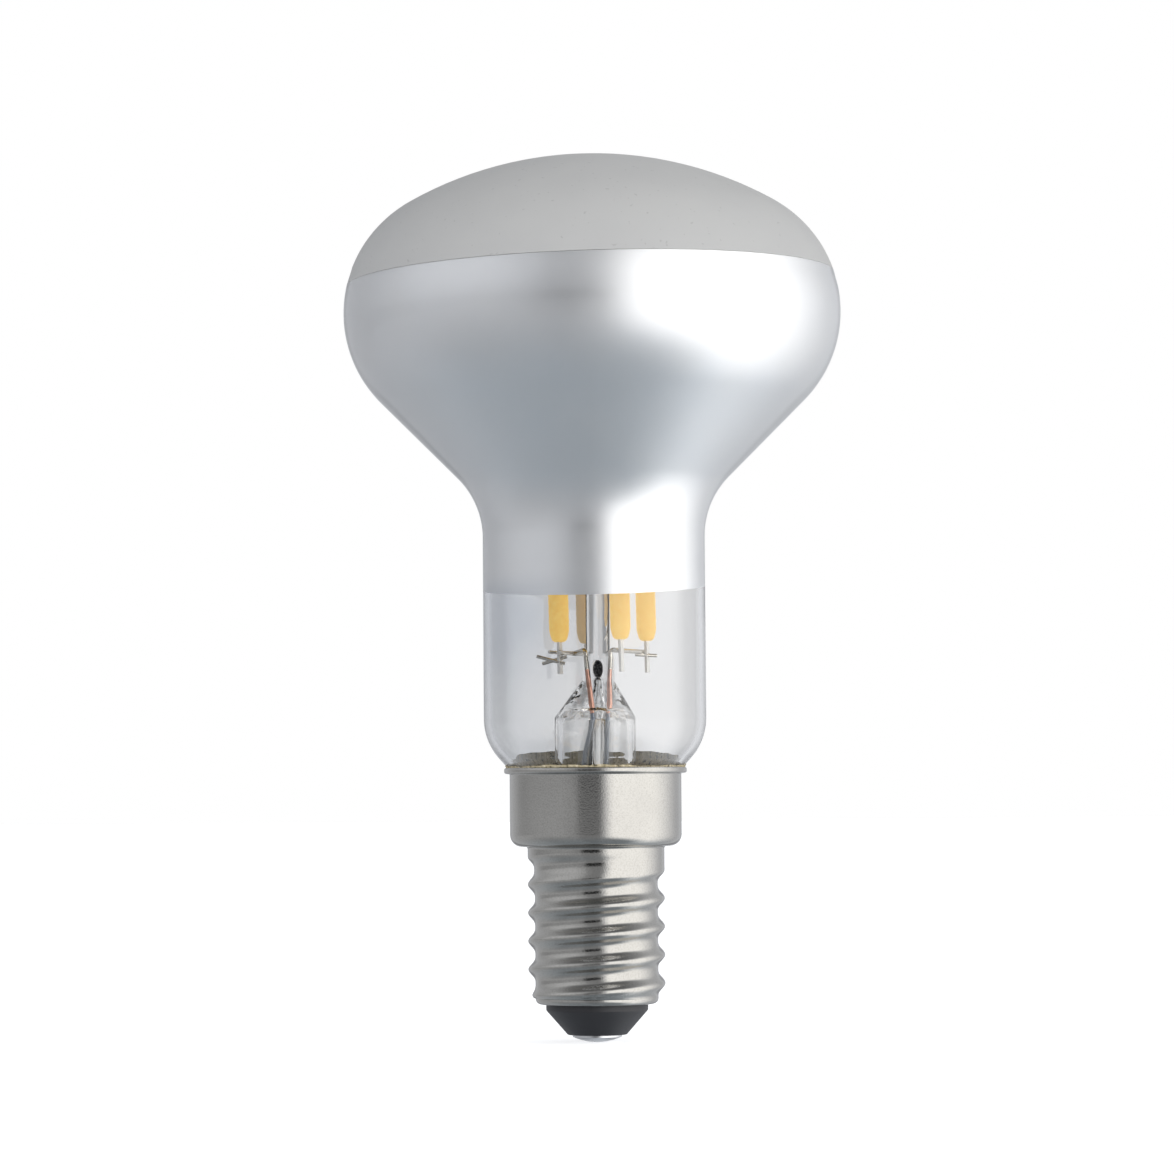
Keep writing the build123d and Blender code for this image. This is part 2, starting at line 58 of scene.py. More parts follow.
# %% Sockets that can be added and multiplied
class Wire:
    """An output socket of a node, with arithmetic that adds Math nodes."""

    def __init__(self, board, socket):
        self.board = board
        self.socket = socket

    def sister(self, name):
        """Find another output of the same node."""
        return Wire(self.board, self.socket.node.outputs[name])

    def apply(self, operation):
        return self.board.maths(operation, self)

    def __add__(self, other):
        return self.board.maths("ADD", self, other)

    def __radd__(self, other):
        return self.board.maths("ADD", other, self)

    def __sub__(self, other):
        return self.board.maths("SUBTRACT", self, other)

    def __rsub__(self, other):
        return self.board.maths("SUBTRACT", other, self)

    def __mul__(self, other):
        return self.board.maths("MULTIPLY", self, other)

    def __rmul__(self, other):
        return self.board.maths("MULTIPLY", other, self)

    def __truediv__(self, other):
        return self.board.maths("DIVIDE", self, other)

    def __pow__(self, other):
        return self.board.maths("POWER", self, other)


# %% A node tree that grows by one node at a call
class Board:
    """A node tree, with one method that adds any node."""

    def __init__(self, tree):
        self.tree = tree

    def add(self, kind, settings=None, sockets=None, out=0):
        node = self.tree.nodes.new(kind)
        for name, value in (settings or {}).items():
            setattr(node, name, value)
        for name, value in (sockets or {}).items():
            self.feed(node.inputs[name], value)
        return Wire(self, node.outputs[out]) if node.outputs else node

    def feed(self, target, value):
        """Link a wire to an input, or set a plain value on it."""
        if isinstance(value, Wire):
            self.tree.links.new(value.socket, target)
        else:
            target.default_value = value

    def maths(self, operation, first, second=0.0):
        return self.add("ShaderNodeMath", {"operation": operation}, {0: first, 1: second})

    def split(self, vector):
        """Take a vector apart into its X, Y and Z."""
        x = self.add("ShaderNodeSeparateXYZ", None, {0: vector})
        return x, x.sister("Y"), x.sister("Z")

    def step(self, value, low, high):
        """Rise smoothly from 0 at low to 1 at high."""
        sockets = {"Value": value, "From Min": low, "From Max": high}
        return self.add("ShaderNodeMapRange", {"interpolation_type": "SMOOTHSTEP"}, sockets)

    def window(self, value, rise, fall):
        """Rise smoothly from 0 to 1 over the stretch (low, high) of rise, and fall to 0 over that of fall."""
        return self.step(value, *rise) * (1 - self.step(value, *fall))

    def blend(self, factor, first, second):
        """Mix two colours."""
        sockets = {0: factor, 6: first, 7: second}
        return self.add("ShaderNodeMix", {"data_type": "RGBA"}, sockets, out=2)

    def noise(self, grain, detail, place):
        """Mottle from 0 to 1, in spots about as wide as grain."""
        sockets = {"Scale": 1 / grain, "Detail": detail, "Vector": place}
        return self.add("ShaderNodeTexNoise", None, sockets)


def rgb(red, green, blue):
    """Turn a colour as a paint chart gives it, from 0 to 255, into Blender's linear light."""
    share = [value / 255 for value in (red, green, blue)]
    linear = [value / 12.92 if value <= 0.04045 else ((value + 0.055) / 1.055) ** 2.4 for value in share]
    return (*linear, 1.0)


BLACK = (0, 0, 0, 1)
WHITE = (1, 1, 1, 1)
print("A mid grey of 188 is", round(rgb(188, 188, 188)[0], 3), "in linear light")

# %% [markdown]
# A finish is one Principled shader. What is the same all over the piece is set on the shader's own sockets,
# and only what changes over the surface comes through nodes, because the export bakes just those. Patterns
# read Object coordinates: each piece stays at the origin, so they are the lamp's own millimetres and stay
# put in every view.

# %% Start a finish
def new_finish(name, constants):
    """Make a material, and return it with its board, its Principled shader and Object coordinates."""
    material = bpy.data.materials.new(name)
    material.use_nodes = True
    board = Board(material.node_tree)
    shader = material.node_tree.nodes["Principled BSDF"]
    for socket, value in constants.items():
        shader.inputs[socket].default_value = value
    print("finish:", name)
    return material, board, shader, board.add("ShaderNodeTexCoord", out="Object")


def add_bump(board, shader, height, depth, strength):
    """Raise the surface by up to depth where height is 1."""
    sockets = {"Height": height, "Distance": depth, "Strength": strength}
    board.feed(shader.inputs["Normal"], board.add("ShaderNodeBump", None, sockets))


# %% [markdown]
# Most of the lamp is turned: glass, cap, insulator and contact are outlines carried round one axis. One
# helper skins the outlines that a function gives for each angle, so an outline may change on its way round,
# as a coating does whose edge is not level. The seam and the poles are welded, and the normals are worked
# out after that.

# %% Skin an outline round the axis
SHARP_ANGLE = 35.0
ON_AXIS = 1e-9
WELD_REACH = 1e-8


def add_piece(name, mesh, material, sharp_angle=SHARP_ANGLE):
    """Put a mesh at the origin as a new object with one finish."""
    mesh.materials.clear()
    mesh.materials.append(material)
    mesh.shade_smooth()
    mesh.set_sharp_from_angle(angle=math.radians(sharp_angle))
    piece = bpy.data.objects.new(name, mesh)
    bpy.context.scene.collection.objects.link(piece)
    return piece


def turned_mesh(name, outline_at, turns):
    """Make a closed mesh from the outline (across, height, mark) that outline_at gives for each angle."""
    body = bmesh.new()
    marks = body.verts.layers.float.new("mark")
    rings = []
    for count in range(turns):
        angle = FULL_TURN * count / turns
        ring = []
        for across, height, mark in outline_at(angle):
            right, back = across * math.cos(angle), across * math.sin(angle)
            corner = body.verts.new((right * MM, back * MM, height * MM))
            corner[marks] = mark
            ring.append(corner)
        rings.append(ring)
    for ring, following in zip(rings, rings[1:] + rings[:1]):
        for place in range(len(ring)):
            corners = (ring[place - 1], following[place - 1], following[place], ring[place])
            if any(math.hypot(corner.co.x, corner.co.y) > ON_AXIS for corner in corners):
                body.faces.new(corners)
    bmesh.ops.remove_doubles(body, verts=body.verts, dist=WELD_REACH)
    bmesh.ops.recalc_face_normals(body, faces=body.faces)
    mesh = bpy.data.meshes.new(name)
    body.to_mesh(mesh)
    body.free()
    print(name, "has", len(mesh.polygons), "faces")
    return mesh


# %% Round the corners of an outline
CORNER_STEPS = 6


def rounded(corners):
    """Round the corners (across, height, radius) of a closed outline."""
    line = []
    for place, (across, height, radius) in enumerate(corners):
        corner = Vector((across, height))
        before = Vector(corners[place - 1][:2]) - corner
        after = Vector(corners[(place + 1) % len(corners)][:2]) - corner
        if radius == 0:
            line.append(corner)
            continue
        half = before.angle(after) / 2
        before.normalize()
        after.normalize()
        middle = corner + (before + after).normalized() * radius / math.sin(half)
        first = corner + before * radius / math.tan(half) - middle
        last = corner + after * radius / math.tan(half) - middle
        start = math.atan2(first.y, first.x)
        turn = math.remainder(math.atan2(last.y, last.x) - start, FULL_TURN)
        for count in range(CORNER_STEPS + 1):
            angle = start + turn * count / CORNER_STEPS
            line.append(middle + Vector((math.cos(angle), math.sin(angle))) * radius)
    return [(point.x, point.y, 0.0) for point in line]


# %% [markdown]
# ## The bulb
# The bulb is blown from a tube, so its outline is a chain of arcs joined by straight lines. The same centres
# serve the outer and the inner wall, and only the radii change by the thickness of the glass. A place on the
# outline is a number: its whole part picks the arc or line, and its fraction says how far along it is.

# %% The outline of the bulb
GLASS_WALL = 0.7
TAIL_RADIUS = 7.95
SEAL_HEIGHT = 25.01
# Centre across and up, radius, first and last angle, and 1 for a bulge or -1 for a hollow
BULB_ARCS = (
    (0.0, 51.4, 37.5, 90.0, 60.0, 1),
    (12.5, 73.05, 12.5, 60.0, -45.0, 1),
    (19.65, 50.5, 8.5, 135.0, 180.0, -1),
    (5.15, 32.32, 6.0, 0.0, -42.0, 1),
    (9.45, 25.88, 1.5, 138.0, 180.0, -1),
)
BULB_CHAIN = ("arc", "arc", "line", "arc", "line", "arc", "line", "arc", "line")
# Rings on each link of the chain, from the crown down to the tail
BULB_RINGS = (16, 36, 6, 20, 10, 16, 4, 10, 3)
TAIL_END = float(len(BULB_CHAIN))


def arc_point(arc, share, inset):
    across, up, radius, first, last, bulge = BULB_ARCS[arc]
    angle = math.radians(first + (last - first) * share)
    reach = radius - bulge * inset
    return Vector((across + reach * math.cos(angle), up + reach * math.sin(angle)))


def bulb_point(place, inset):
    """Find the point (across, height) at a place of the chain, moved into the glass by inset."""
    link = min(int(place), len(BULB_CHAIN) - 1)
    share = place - link
    arcs_before = BULB_CHAIN[:link].count("arc")
    if BULB_CHAIN[link] == "arc":
        return arc_point(arcs_before, share, inset)
    start = arc_point(arcs_before - 1, 1, inset)
    if arcs_before < len(BULB_ARCS):
        return start.lerp(arc_point(arcs_before, 0, inset), share)
    return start.lerp(Vector((TAIL_RADIUS - inset, SEAL_HEIGHT)), share)


RING_PLACES = [link + count / rings for link, rings in enumerate(BULB_RINGS) for count in range(rings)]
print("rings:", len(RING_PLACES), "crown:", bulb_point(0, 0)[:], "tail:", bulb_point(TAIL_END, 0)[:])

# %% [markdown]
# Two coatings divide the bulb. The crown is frosted, and the cone is silvered inside down to the neck.
# Neither edge is quite level, because the bulb was held a little askew when it was coated. A tilted plane
# gives the edge: for each angle a search by halves finds where the outline goes through it.

# %% Edges of the coatings
# Level on the axis, then the rise for each millimetre to the right and to the back
FROST_EDGE = (76.4, 0.0245, 0.0)
SILVER_EDGE = (45.34, 0.017, 0.0987)
HALVINGS = 40


def edge_place(edge, angle):
    """Find the place where the bulb's outline, at an angle, goes through a tilted plane."""
    level, right, back = edge
    high, low = 0.0, TAIL_END
    for halving in range(HALVINGS):
        middle = (high + low) / 2
        across, height = bulb_point(middle, 0)
        if height > level + across * (right * math.cos(angle) + back * math.sin(angle)):
            high = middle
        else:
            low = middle
    return middle


def at_crown(angle):
    return 0.0


def at_frost(angle):
    return edge_place(FROST_EDGE, angle)


def at_silver(angle):
    return edge_place(SILVER_EDGE, angle)


def at_tail(angle):
    return TAIL_END


print("frost edge at place", round(at_frost(0), 3), "silver edge at place", round(at_silver(0), 3))

# %% Cut a zone out of the outline
ANGLES_TRIED = 24
# A ring of the chain is left out where it comes nearer than this to a zone's slanting edge
RING_MARGIN = 0.02


def bulb_zone(start_at, end_at, outer_inset, inner_inset):
    """Give a zone's outline for each angle: down the outer wall and back up the inner one."""
    around = [FULL_TURN * count / ANGLES_TRIED for count in range(ANGLES_TRIED)]
    first = max(start_at(angle) for angle in around) + RING_MARGIN
    last = min(end_at(angle) for angle in around) - RING_MARGIN
    between = [place for place in RING_PLACES if first < place < last]

    def outline_at(angle):
        places = [start_at(angle), *between, end_at(angle)]
        outer = [(*bulb_point(place, outer_inset), 0.0) for place in places]
        inner = [(*bulb_point(place, inner_inset), 0.0) for place in reversed(places)]
        return outer + inner

    return outline_at


# %% [markdown]
# The clear wall is real glass: transmission, the index of soda glass, and the shallow ripple that blowing
# leaves. A grey tint on the neck's left side, deeper near the film, is painted shade. The tint acts on the
# near and on the far wall, so it is slight.

# %% Clear wall
BULB_TURNS = 144
SODA_GLASS = 1.5
CLEAR_TINT = (0.966, 0.96, 0.946, 1)
NECK_SHADE_TINT = (0.79, 0.806, 0.828, 1)
# The painted shade thins out over these millimetres to the right, and its edge wanders by half the drift
NECK_SHADE_EDGE = (-12.0, 3.0)
NECK_SHADE_DRIFT = 6.0
# The painted shade thickens up the neck and ends behind the film
NECK_SHADE_BELOW = 0.55
NECK_SHADE_GAIN = 0.75
NECK_SHADE_THICKENS = (33 * MM, 43 * MM)
NECK_SHADE_ENDS = (44 * MM, 47 * MM)
glass, board, shader, place = new_finish(
    "clear_blown_glass", {"Transmission Weight": 1.0, "IOR": SODA_GLASS, "Roughness": 0.0}
)
right, _, height = board.split(place)
drift = board.noise(grain=7 * MM, detail=3.0, place=place) - 0.5
# painted shade: a grey tint on the left of the neck, deeper towards the film
neck_shade = 1 - board.step(right / MM + drift * NECK_SHADE_DRIFT, *NECK_SHADE_EDGE)
neck_shade = neck_shade * (NECK_SHADE_BELOW + board.step(height, *NECK_SHADE_THICKENS) * NECK_SHADE_GAIN)
neck_shade = neck_shade * (1 - board.step(height, *NECK_SHADE_ENDS))
board.feed(shader.inputs["Base Color"], board.blend(neck_shade, CLEAR_TINT, NECK_SHADE_TINT))
ripple = board.noise(grain=9 * MM, detail=1.0, place=place)
add_bump(board, shader, ripple, depth=0.05 * MM, strength=0.6)
wall_zone = bulb_zone(at_frost, at_tail, 0.0, GLASS_WALL)
bulb_wall = add_piece("bulb_wall", turned_mesh("bulb_wall", wall_zone, BULB_TURNS), glass)
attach(bulb_wall, "root")
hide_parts("glass_envelope")

# %% [markdown]
# The frosted crown scatters light instead of showing what is behind it, so it is made as a pale, rough
# surface of its own. Fine grain in the bump stands for the etching, and a few tiny dark specks for dust that
# clings to it.

# %% Frosted crown
SPECK_EDGE = (0.70, 0.78)
SPECK_STRENGTH = 0.35
frost, board, shader, place = new_finish("frosted_glass", {"IOR": 1.45, "Specular IOR Level": 0.35})
cloud = board.noise(grain=7 * MM, detail=3.0, place=place)
specks = board.step(board.noise(grain=0.5 * MM, detail=1.0, place=place), *SPECK_EDGE)
pale = board.blend(cloud, rgb(187, 187, 186), rgb(195, 195, 193))
board.feed(shader.inputs["Base Color"], board.blend(specks * SPECK_STRENGTH, pale, rgb(150, 149, 148)))
board.feed(shader.inputs["Roughness"], 0.55 + cloud * 0.1)
etching = board.noise(grain=0.25 * MM, detail=2.0, place=place)
add_bump(board, shader, etching, depth=0.01 * MM, strength=0.5)
crown_zone = bulb_zone(at_crown, at_frost, 0.0, GLASS_WALL)
frosted_crown = add_piece("frosted_crown", turned_mesh("frosted_crown", crown_zone, BULB_TURNS), frost)
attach(frosted_crown, "root")
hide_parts("glass_envelope")

# %% [markdown]
# The silvering is a film of vapour. It lies wholly inside the glass, so that light meets it without an air
# gap, and near the outer skin, so that no dark seam shows where the frosting ends. It is satin: reflections
# keep their place and lose their edges, and part of the light is scattered, which lifts the shaded side.

# %% Silvered film
FILM_START = 0.12
FILM_END = 0.20
silver, board, shader, place = new_finish("satin_silvering", {"Metallic": 0.84})
mottle = board.noise(grain=5 * MM, detail=4.0, place=place)
board.feed(shader.inputs["Base Color"], board.blend(mottle, rgb(242, 244, 247), rgb(248, 249, 250)))
board.feed(shader.inputs["Roughness"], 0.28 + mottle * 0.06)
film_zone = bulb_zone(at_frost, at_silver, FILM_START, FILM_END)
silver_film = add_piece("silver_film", turned_mesh("silver_film", film_zone, BULB_TURNS), silver)
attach(silver_film, "root")

# %% [markdown]
# ## The screw cap
# The cap is drawn from nickel-plated sheet, and its thread is rolled into it. A rolled thread is a rule: the
# height of the ridge depends only on how far a point is from the helix. So the plain cup is turned first,
# and a Geometry Nodes tree lifts each point of its marked wall by that rule. At the bottom the ridge grows
# out of the wall along its turn, and at the top the groove runs out into the plain band.

# %% Start and finish a Geometry Nodes tree
def new_tree(name, sizes):
    """Start a tree with named sizes as inputs, and return it with its board and its input node."""
    tree = bpy.data.node_groups.new(name, "GeometryNodeTree")
    tree.interface.new_socket("Geometry", in_out="INPUT", socket_type="NodeSocketGeometry")
    for label in sizes:
        tree.interface.new_socket(label, in_out="INPUT", socket_type="NodeSocketFloat")
    tree.interface.new_socket("Finish", in_out="INPUT", socket_type="NodeSocketMaterial")
    tree.interface.new_socket("Geometry", in_out="OUTPUT", socket_type="NodeSocketGeometry")
    board = Board(tree)
    return tree, board, board.add("NodeGroupInput")


def end_tree(board, geometry, start):
    """Close a tree: make instances real and give the finish."""
    real = board.add("GeometryNodeRealizeInstances", None, {"Geometry": geometry})
    sockets = {"Geometry": real, "Material": start.sister("Finish")}
    finished = board.add("GeometryNodeSetMaterial", None, sockets)
    board.add("NodeGroupOutput", None, {"Geometry": finished})
    print(board.tree.name, "has", len(board.tree.nodes), "nodes")


def grow(name, mesh, tree, sizes, material):
    """Run a tree on a mesh, and keep the result as a plain mesh."""
    piece = add_piece(name, mesh, material)
    modifier = piece.modifiers.new(tree.name, "NODES")
    modifier.node_group = tree
    values = {**sizes, "Finish": material}
    for item in tree.interface.items_tree:
        if item.in_out == "INPUT" and item.name in values:
            modifier[item.identifier] = values[item.name]
    evaluated = piece.evaluated_get(bpy.context.evaluated_depsgraph_get())
    made = bpy.data.meshes.new_from_object(evaluated)
    piece.modifiers.remove(modifier)
    bpy.data.objects.remove(piece)
    made.name = name
    print(name, "grew to", len(made.polygons), "faces")
    return add_piece(name, made, material)


# %% Steps that the trees share
def read_mark(board):
    """Read the mark that a turned mesh carries on its points."""
    return board.add("GeometryNodeInputNamedAttribute", {"data_type": "FLOAT"}, {"Name": "mark"})


def widen(board, geometry, spot, wider):
    """Move each point to wider times its distance from the axis."""
    x, y, z = spot
    place = board.add("ShaderNodeCombineXYZ", None, {"X": x * wider, "Y": y * wider, "Z": z})
    return board.add("GeometryNodeSetPosition", None, {"Geometry": geometry, "Position": place})


# %% The rule of the rolled thread
THREAD_SIZES = {
    "Pitch": 2.82 * MM,
    "First crest": 3.04 * MM,
    "Ridge": 0.7 * MM,
    "Sharpness": 1.6,
    "Grow from turn": 0.2,
    "Grow to turn": 0.75,
    "Fade from turn": 4.4,
    "Fade to turn": 4.95,
    "Wall foot": 4.0 * MM,
    "Full from": 4.9 * MM,
    "Band from": 17.9 * MM,
    "Band full": 19.2 * MM,
}
thread_tree, board, start = new_tree("roll_thread", THREAD_SIZES)
x, y, z = board.split(board.add("GeometryNodeInputPosition"))
turn = (board.maths("ARCTAN2", y, x) / FULL_TURN + 1.0).apply("FRACT")
ridge = (z - start.sister("First crest")) / start.sister("Pitch") - turn
ridge_count = ridge.apply("ROUND")
groove_count = (ridge - 0.5).apply("ROUND")
wave = ((ridge - ridge_count) * FULL_TURN).apply("COSINE") * 0.5 + 0.5
wave = wave ** start.sister("Sharpness")
grown = board.step(ridge_count + turn, start.sister("Grow from turn"), start.sister("Grow to turn"))
faded = board.step(groove_count + turn, start.sister("Fade from turn"), start.sister("Fade to turn"))
band = board.step(z, start.sister("Band from"), start.sister("Band full"))
foot = board.step(z, start.sister("Wall foot"), start.sister("Full from"))
lift = (1 - (1 - wave * grown) * (1 - faded) * (1 - band)) * foot
across = (x * x + y * y) ** 0.5
wider = 1 + lift * read_mark(board) * start.sister("Ridge") / across
end_tree(board, widen(board, start, (x, y, z), wider), start)

# %% [markdown]
# Nickel plate on drawn sheet is satin, with a fine grain that breaks a reflection up into speckle. The grain
# goes into the bump, the roughness and a darker speckle, and a slow warm and cool drift into the colour.

# %% Nickel plate
SPECKLE_EDGE = (0.42, 0.68)
SPECKLE_STRENGTH = 0.2
nickel, board, shader, place = new_finish("nickel_plate", {"Metallic": 1.0})
grain = board.noise(grain=0.15 * MM, detail=2.0, place=place)
drift = board.noise(grain=4 * MM, detail=3.0, place=place)
tone = board.blend(drift, rgb(165, 163, 159), rgb(179, 177, 172))
speckle = board.step(grain, *SPECKLE_EDGE) * SPECKLE_STRENGTH
board.feed(shader.inputs["Base Color"], board.blend(speckle, tone, rgb(126, 123, 118)))
board.feed(shader.inputs["Roughness"], 0.09 + grain * 0.08)
add_bump(board, shader, grain, depth=0.014 * MM, strength=0.5)

# %% The cup of the cap
SHELL_HOLE = 5.15
WALL_INSIDE = 5.75
WALL_ROOT = 6.15
BAND_INSIDE = 6.5
BAND_RADIUS = WALL_ROOT + THREAD_SIZES["Ridge"] / MM
COLLAR_INSIDE = 8.3
COLLAR_RADIUS = 8.6
MOUTH_RADIUS = 8.9
LIP_RADIUS = 9.15
SHELL_BOTTOM = 3.8
SHELL_FLOOR = 4.3
WALL_BOTTOM = 4.42
BAND_STEP = 18.3
BAND_BOTTOM = 19.22
COLLAR_BOTTOM = 19.5
COLLAR_TOP = 26.75
LIP_TOP = 27.4
SHELL_TURNS = 160
# Close rings on the marked wall, for the thread
RING_STEP = 0.08
FIRST_RING = 4.45
WALL_RINGS = 185
shell_line = rounded(
    (
        (SHELL_HOLE, SHELL_BOTTOM, 0.1),
        (WALL_ROOT, SHELL_BOTTOM, 0.55),
        (WALL_ROOT, WALL_BOTTOM, 0),
    )
)
shell_line += [(WALL_ROOT, FIRST_RING + RING_STEP * count, 1.0) for count in range(WALL_RINGS)]
shell_line += rounded(
    (
        (BAND_RADIUS, BAND_BOTTOM, 0),
        (BAND_RADIUS, COLLAR_BOTTOM, 0.25),
        (COLLAR_RADIUS, COLLAR_BOTTOM, 1.2),
        (COLLAR_RADIUS, COLLAR_TOP, 0.12),
        (LIP_RADIUS, 26.82, 0.22),
        (LIP_RADIUS, LIP_TOP, 0.22),
        (MOUTH_RADIUS, LIP_TOP, 0.08),
        (COLLAR_INSIDE, 26.5, 0.1),
        (COLLAR_INSIDE, 20.1, 0.4),
        (BAND_INSIDE, 19.85, 0.1),
        (BAND_INSIDE, BAND_STEP, 0.1),
        (WALL_INSIDE, BAND_STEP, 0),
        (WALL_INSIDE, SHELL_FLOOR, 0),
        (SHELL_HOLE, SHELL_FLOOR, 0),
    )
)
cup = turned_mesh("rolled_shell", lambda angle: shell_line, SHELL_TURNS)
rolled_shell = grow("rolled_shell", cup, thread_tree, THREAD_SIZES, nickel)
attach(rolled_shell, "root")
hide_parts("screw_shell")

# %% [markdown]
# The insulator is a bush of black pressed glass, and the end contact is a soldered dome. Both are turned,
# with the small round edges that catch the light.

# %% Insulator
BUSH_BORE = 1.0
BUSH_NOSE = 2.95
BUSH_NECK = 5.1
BUSH_FLANGE = 5.7
BUSH_FACE = 0.75
BUSH_TAPER_TOP = 3.2
BUSH_TOP = 5.3
BUSH_TURNS = 128
black, board, shader, place = new_finish("black_pressed_glass", {"IOR": SODA_GLASS})
cast = board.noise(grain=1.2 * MM, detail=3.0, place=place)
board.feed(shader.inputs["Base Color"], board.blend(cast, rgb(36, 36, 39), rgb(44, 44, 47)))
board.feed(shader.inputs["Roughness"], 0.42 + cast * 0.15)
pits = board.noise(grain=0.3 * MM, detail=2.0, place=place)
add_bump(board, shader, pits, depth=0.01 * MM, strength=0.4)
bush_line = rounded(
    (
        (BUSH_BORE, BUSH_FACE, 0),
        (BUSH_NOSE, BUSH_FACE, 0.12),
        (BUSH_NECK, BUSH_TAPER_TOP, 0.3),
        (BUSH_NECK, SHELL_FLOOR, 0),
        (BUSH_FLANGE, SHELL_FLOOR, 0),
        (BUSH_FLANGE, BUSH_TOP, 0.1),
        (BUSH_BORE, BUSH_TOP, 0),
    )
)
bush_mesh = turned_mesh("pressed_bush", lambda angle: bush_line, BUSH_TURNS)
pressed_bush = add_piece("pressed_bush", bush_mesh, black)
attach(pressed_bush, "root")
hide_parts("insulator")

# %% End contact
DOME_RADIUS = 2.45
DOME_RISE = 0.53
DOME_STEPS = 16
DOME_TURNS = 96
RIVET_RADIUS = 0.95
RIVET_TOP = 5.7
solder, board, shader, place = new_finish("tinned_solder", {"Metallic": 1.0})
flow = board.noise(grain=0.9 * MM, detail=3.0, place=place)
board.feed(shader.inputs["Base Color"], board.blend(flow, rgb(196, 197, 199), rgb(218, 218, 219)))
board.feed(shader.inputs["Roughness"], 0.22 + flow * 0.14)
add_bump(board, shader, flow, depth=0.03 * MM, strength=0.5)
dome_curve = (DOME_RADIUS**2 + DOME_RISE**2) / (2 * DOME_RISE)
dome_line = [
    (reach, dome_curve - math.sqrt(dome_curve**2 - reach**2), 0.0)
    for reach in (DOME_RADIUS * count / DOME_STEPS for count in range(DOME_STEPS + 1))
]
dome_line += [(DOME_RADIUS, BUSH_FACE, 0.0), (RIVET_RADIUS, BUSH_FACE, 0.0)]
dome_line += [(RIVET_RADIUS, RIVET_TOP, 0.0), (0.0, RIVET_TOP, 0.0)]
dome_mesh = turned_mesh("contact_dome", lambda angle: dome_line, DOME_TURNS)
contact_dome = add_piece("contact_dome", dome_mesh, solder)
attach(contact_dome, "root")
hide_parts("end_contact")

# %% [markdown]
# Basing cement holds the glass in the cap. It is a baked paste of powder and resin, so its free surface is
# crumbly. The turned ring is marked where it is free, and a tree pushes those points about by noise with a
# fixed seed. Its inner side sinks a little into the glass, as a paste that wets it does, so that no gap
# shows.

# %% Crumble a marked surface
CRUMB_SIZES = {"Depth": 0.16 * MM, "Grain": 2600.0, "Seed": 4.0}
crumble_tree, board, start = new_tree("crumble", CRUMB_SIZES)
sockets = {"Scale": start.sister("Grain"), "W": start.sister("Seed"), "Detail": 3.0}
crumbs = board.add("ShaderNodeTexNoise", {"noise_dimensions": "4D"}, sockets)
push = (crumbs - 0.5) * 2 * read_mark(board) * start.sister("Depth")
outward = board.add("GeometryNodeInputNormal")
offset = board.add("ShaderNodeVectorMath", {"operation": "SCALE"}, {0: outward, "Scale": push})
moved = board.add("GeometryNodeSetPosition", None, {"Geometry": start, "Offset": offset})
end_tree(board, moved, start)

# %% Cement
LIGHT_SAND = (0.52, 0.66)
DARK_SAND = (0.46, 0.34)
cement, board, shader, place = new_finish("basing_cement", {"Specular IOR Level": 0.2})
sand = board.noise(grain=0.35 * MM, detail=4.0, place=place)
patch = board.noise(grain=3 * MM, detail=2.0, place=place)
tone = board.blend(patch, rgb(180, 168, 134), rgb(206, 193, 160))
tone = board.blend(board.step(sand, *LIGHT_SAND), tone, rgb(228, 217, 190))
tone = board.blend(board.step(sand, *DARK_SAND), tone, rgb(92, 86, 71))
board.feed(shader.inputs["Base Color"], tone)
board.feed(shader.inputs["Roughness"], 0.8 + sand * 0.15)
add_bump(board, shader, sand, depth=0.08 * MM, strength=0.8)

# %% Cement ring
# The free edge rises to the back and sags at both sides
CEMENT_LEVEL = 28.04
CEMENT_TILT = 0.46
CEMENT_SAG = 0.36
# Height, count and shift of the waves along the ragged edge
CEMENT_WAVES = ((0.04, 3, 1.0), (0.03, 8, 0.0), (0.03, 21, 2.0))
CEMENT_OUTSIDE = 8.28
CEMENT_SHOULDER = 26.45
CEMENT_BOTTOM = 21.3
# Where it goes round the end of the glass
CEMENT_INSIDE = 6.9
GLASS_FOOT = 7.92
SKIN_THICKNESS = 0.15
SKIN_EDGE = 0.02
SUNK = 0.03
SKIN_RINGS = 12
RING_TURNS = 360


def cement_outline(angle):
    """Go up the cap's wall, up a thinning skin on the glass to its free edge, and down in the glass."""
    ragged = sum(rise * math.sin(count * angle + shift) for rise, count, shift in CEMENT_WAVES)
    free = CEMENT_LEVEL + CEMENT_TILT * math.sin(angle) - CEMENT_SAG * math.cos(angle) ** 2 + ragged
    low = edge_place((LIP_TOP, 0.0, 0.0), angle)
    high = edge_place((free, 0.0, 0.0), angle)
    line = [(CEMENT_OUTSIDE, CEMENT_BOTTOM, 0.0), (CEMENT_OUTSIDE, CEMENT_SHOULDER, 0.0)]
    shares = [count / SKIN_RINGS for count in range(SKIN_RINGS + 1)]
    for share in shares:
        above_glass = SKIN_THICKNESS * (1 - share) + SKIN_EDGE
        line.append((*bulb_point(low + (high - low) * share, -above_glass), 1.0))
    for share in shares:
        line.append((*bulb_point(high + (TAIL_END - high) * share, SUNK), 0.0))
    line += [(GLASS_FOOT, 24.4, 0.0), (CEMENT_INSIDE, 24.25, 0.0), (CEMENT_INSIDE, CEMENT_BOTTOM, 0.0)]
    return line


ring_mesh = turned_mesh("cement_ring", cement_outline, RING_TURNS)
cement_ring = grow("cement_ring", ring_mesh, crumble_tree, CRUMB_SIZES, cement)
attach(cement_ring, "root")
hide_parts("basing_cement")

# %% [markdown]
# ## Filaments
# An LED filament is a strip of chips under a yellow silicone and phosphor coat, with a metal tab at each
# end. Four of them stand in a cage that leans a little. One tree makes a coat from a tube, rounds its ends,
# lets the chips show as a faint ripple, and stands a copy on each corner of the cage.

